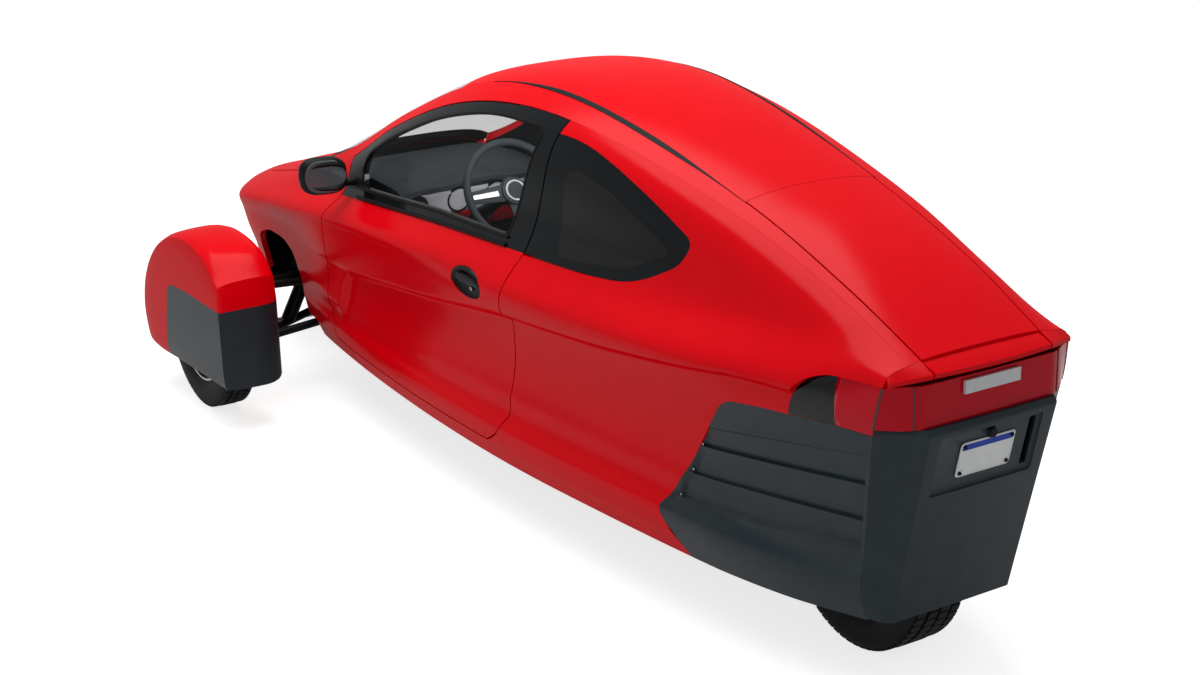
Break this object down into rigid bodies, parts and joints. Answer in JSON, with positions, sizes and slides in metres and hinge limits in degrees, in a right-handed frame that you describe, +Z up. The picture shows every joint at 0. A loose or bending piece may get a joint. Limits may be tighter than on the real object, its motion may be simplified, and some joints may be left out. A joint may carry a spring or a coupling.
{
  "type": "three-wheeled car",
  "caption": "A narrow, low two-seat car with two faired front wheels and one rear wheel, a side door, a rear deck lid and a hood.",
  "frame": {"origin": "on the ground under the middle of the bounding box", "axes": "+X forward, +Y to the car's left, +Z up"},
  "size_m": [4.077, 1.7, 1.3771],
  "materials": {
    "red_paint": "high gloss solid red",
    "slate_plastic": "grained dark grey plastic",
    "black_plastic": "satin black plastic",
    "clear_glass": "clear laminated",
    "tinted_glass": "dark tint",
    "lamp_lens": "red transparent lens",
    "clear_lens": "clear ribbed lens",
    "plate_metal": "blank white plate",
    "rubber": "black tyre rubber",
    "rim_metal": "silver paint",
    "chassis_metal": "black painted steel",
    "bare_metal": "cast",
    "seat_fabric": "dark woven",
    "dash_plastic": "grey grained",
    "wheel_plastic": "soft black"
  },
  "bodies": {
    "body": {"quarter_left": "red_paint", "fender_left": "red_paint", "side_right": "red_paint", "rockers": "red_paint", "roof_rails": "red_paint", "roof_panel": "red_paint", "nose": "red_paint", "tail_lips": "red_paint", "cladding_left": "slate_plastic", "cladding_right": "slate_plastic", "rear_bumper": "slate_plastic", "cowl": "black_plastic", "mirror_right": "black_plastic", "windscreen": "clear_glass", "window_glass_right": "clear_glass", "quarter_glass": "tinted_glass", "tail_lamp": "lamp_lens", "side_lamps": "lamp_lens", "reflector": "clear_lens", "headlamps": "clear_lens", "licence_plate": "plate_metal", "floor_pan": "chassis_metal", "firewall": "chassis_metal", "rear_bulkhead": "chassis_metal", "frame_rails": "chassis_metal", "suspension": "chassis_metal", "swing_arm": "chassis_metal", "steering_column": "chassis_metal", "seat_bases": "chassis_metal", "engine_block": "bare_metal", "seat_cushion_front": "seat_fabric", "seat_cushion_rear": "seat_fabric", "seat_back_front": "seat_fabric", "seat_back_rear": "seat_fabric", "dashboard": "dash_plastic"},
    "knuckle_left": {"knuckle_left": "bare_metal", "pod_upper_left": "red_paint", "pod_lower_left": "slate_plastic"},
    "knuckle_right": {"knuckle_right": "bare_metal", "pod_upper_right": "red_paint", "pod_lower_right": "slate_plastic"},
    "wheel_left": {"tyre_front_left": "rubber", "rim_front_left": "rim_metal"},
    "wheel_right": {"tyre_front_right": "rubber", "rim_front_right": "rim_metal"},
    "wheel_rear": {"tyre_rear": "rubber", "rim_rear": "rim_metal"},
    "door": {"door_panel": "red_paint", "door_frame": "black_plastic", "door_glass": "clear_glass", "door_handle": "black_plastic", "mirror_left": "black_plastic"},
    "deck": {"deck_lid": "red_paint"},
    "hood": {"hood": "red_paint"},
    "steering_wheel": {"steering_wheel": "wheel_plastic"},
    "rack": {"steering_rack": "chassis_metal"}
  },
  "joints": [
    {"name": "steer_left", "type": "hinge", "parent": "body", "child": "knuckle_left", "pos_m": [1.2005, 0.632, 0.3], "axis": [0, 0, 1], "range_deg": [-25, 25]},
    {"name": "steer_right", "type": "hinge", "parent": "body", "child": "knuckle_right", "pos_m": [1.2005, -0.632, 0.3], "axis": [0, 0, 1], "range_deg": [-26, 26]},
    {"name": "rack_slide", "type": "slide", "parent": "body", "child": "rack", "axis": [0, 1, 0], "range_m": [-0.056, 0.056]},
    {"name": "steering_wheel_turn", "type": "hinge", "parent": "body", "child": "steering_wheel", "pos_m": [0.2715, 0, 0.858], "axis": [-0.8829, 0, 0.4695], "range_deg": [-400, 400]},
    {"name": "front_left_spin", "type": "hinge", "parent": "knuckle_left", "child": "wheel_left", "pos_m": [1.2005, 0.735, 0.285], "axis": [0, 1, 0], "continuous": true},
    {"name": "front_right_spin", "type": "hinge", "parent": "knuckle_right", "child": "wheel_right", "pos_m": [1.2005, -0.735, 0.285], "axis": [0, 1, 0], "continuous": true},
    {"name": "rear_spin", "type": "hinge", "parent": "body", "child": "wheel_rear", "pos_m": [-1.5935, 0, 0.285], "axis": [0, 1, 0], "continuous": true},
    {"name": "door_swing", "type": "hinge", "parent": "body", "child": "door", "pos_m": [0.8155, 0.436, 0.345], "axis": [0.076, -0.0617, -0.9952], "range_deg": [0, 62]},
    {"name": "deck_lift", "type": "hinge", "parent": "body", "child": "deck", "pos_m": [-1.304, 0, 1.21005], "axis": [0, 1, 0], "range_deg": [0, 60]},
    {"name": "hood_lift", "type": "hinge", "parent": "body", "child": "hood", "pos_m": [1.069, 0, 0.88394], "axis": [0, -1, 0], "range_deg": [0, 60]}
  ],
  "couplings": [
    {"joint": "steer_right", "follows": "steer_left", "ratio": 1},
    {"joint": "rack_slide", "follows": "steer_left", "m_per_rad": 0.123},
    {"joint": "steering_wheel_turn", "follows": "steer_left", "ratio": 14}
  ]
}
